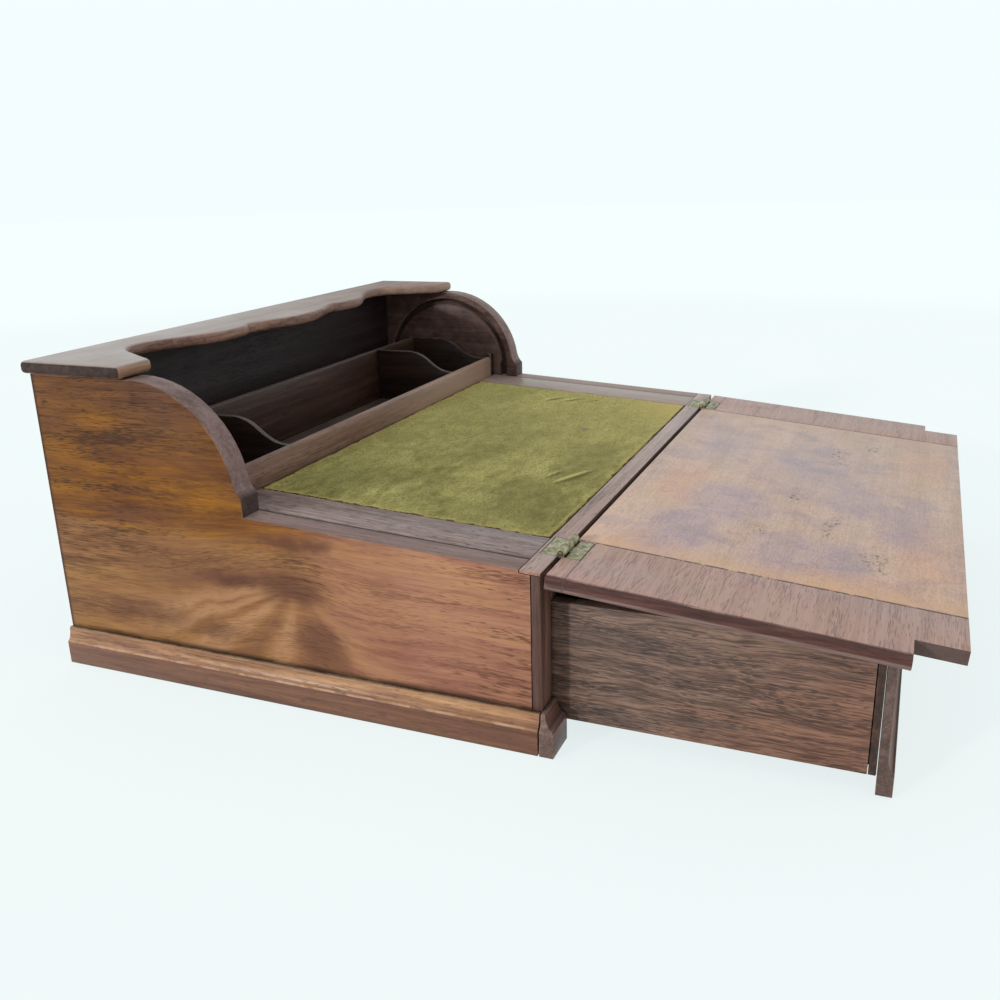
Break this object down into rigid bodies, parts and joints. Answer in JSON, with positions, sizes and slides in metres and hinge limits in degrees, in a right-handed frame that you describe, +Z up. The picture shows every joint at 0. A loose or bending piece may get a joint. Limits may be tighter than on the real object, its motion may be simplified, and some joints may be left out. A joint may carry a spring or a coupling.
{
  "type": "lap desk",
  "caption": "Portable wooden lap desk with a slatted roll top running in curved side grooves, a velvet writing slope, a fold-out flap that rests on an open drawer, and a pen rack.",
  "frame": {"origin": "middle of the case's base, on the underside of the bottom board", "axes": "+Z up, -Y towards the person who writes, +X to that person's right"},
  "size_m": [0.3556, 0.4152, 0.1543],
  "materials": {
    "walnut_veneer": "worn satin",
    "purple_mahogany": "worn satin",
    "dark_mahogany": "worn satin",
    "faded_top": "faded satin",
    "drawer_walnut": "bare",
    "bare_flap_wood": "stained and bare",
    "inside_wood": "bare",
    "olive_velvet": "worn pile",
    "backing_canvas": "plain weave",
    "aged_brass": "tarnished"
  },
  "bodies": {
    "case": {"left_side": "walnut_veneer", "right_side": "walnut_veneer", "side_lipping_left": "purple_mahogany", "side_lipping_right": "purple_mahogany", "back_panel": "inside_wood", "bottom_board": "inside_wood", "drawer_stop_board": "inside_wood", "top_board": "faded_top", "plinth_left": "walnut_veneer", "plinth_right": "walnut_veneer", "plinth_return_left": "purple_mahogany", "plinth_return_right": "purple_mahogany", "front_cap": "purple_mahogany", "front_rail": "purple_mahogany", "stile_left": "purple_mahogany", "stile_right": "purple_mahogany", "writing_panel": "inside_wood", "writing_velvet": "olive_velvet", "rack_front": "dark_mahogany", "rack_back": "dark_mahogany", "rack_floor": "dark_mahogany", "rack_end_left": "dark_mahogany", "rack_end_right": "dark_mahogany", "rack_divider_left": "dark_mahogany", "rack_divider_right": "dark_mahogany", "hinge_leaf_left": "aged_brass", "hinge_leaf_right": "aged_brass", "hinge_pin_left": "aged_brass", "hinge_pin_right": "aged_brass"},
    "drawer": {"drawer_front": "purple_mahogany", "drawer_box_front": "dark_mahogany", "drawer_side_left": "drawer_walnut", "drawer_side_right": "drawer_walnut", "drawer_bottom": "drawer_walnut", "drawer_back": "drawer_walnut"},
    "flap": {"flap_panel": "bare_flap_wood", "flap_cleat_left": "purple_mahogany", "flap_cleat_right": "purple_mahogany", "flap_hinge_leaf_left": "aged_brass", "flap_hinge_leaf_right": "aged_brass"},
    "tambour": {"tambour_lead_rail": "dark_mahogany", "tambour_slat_01": "dark_mahogany", "tambour_slat_02": "dark_mahogany", "tambour_slat_03": "dark_mahogany", "tambour_slat_04": "dark_mahogany", "tambour_slat_05": "dark_mahogany", "tambour_slat_06": "dark_mahogany", "tambour_slat_07": "dark_mahogany", "tambour_slat_08": "dark_mahogany", "tambour_slat_09": "dark_mahogany", "tambour_slat_10": "dark_mahogany", "tambour_slat_11": "dark_mahogany", "tambour_slat_12": "dark_mahogany", "tambour_slat_13": "dark_mahogany", "tambour_canvas": "backing_canvas"}
  },
  "joints": [
    {"name": "drawer_slide", "type": "slide", "parent": "case", "child": "drawer", "axis": [0, 1, 0], "range_m": [0, 0.1315]},
    {"name": "flap_hinge", "type": "hinge", "parent": "case", "child": "flap", "pos_m": [0, -0.1282, 0.08147], "axis": [-1, 0, 0], "range_deg": [0, 181.8]},
    {"name": "tambour_roll", "type": "hinge", "parent": "case", "child": "tambour", "pos_m": [0, 0.0695, 0.0958], "axis": [1, 0, 0], "range_deg": [0, 169]}
  ]
}
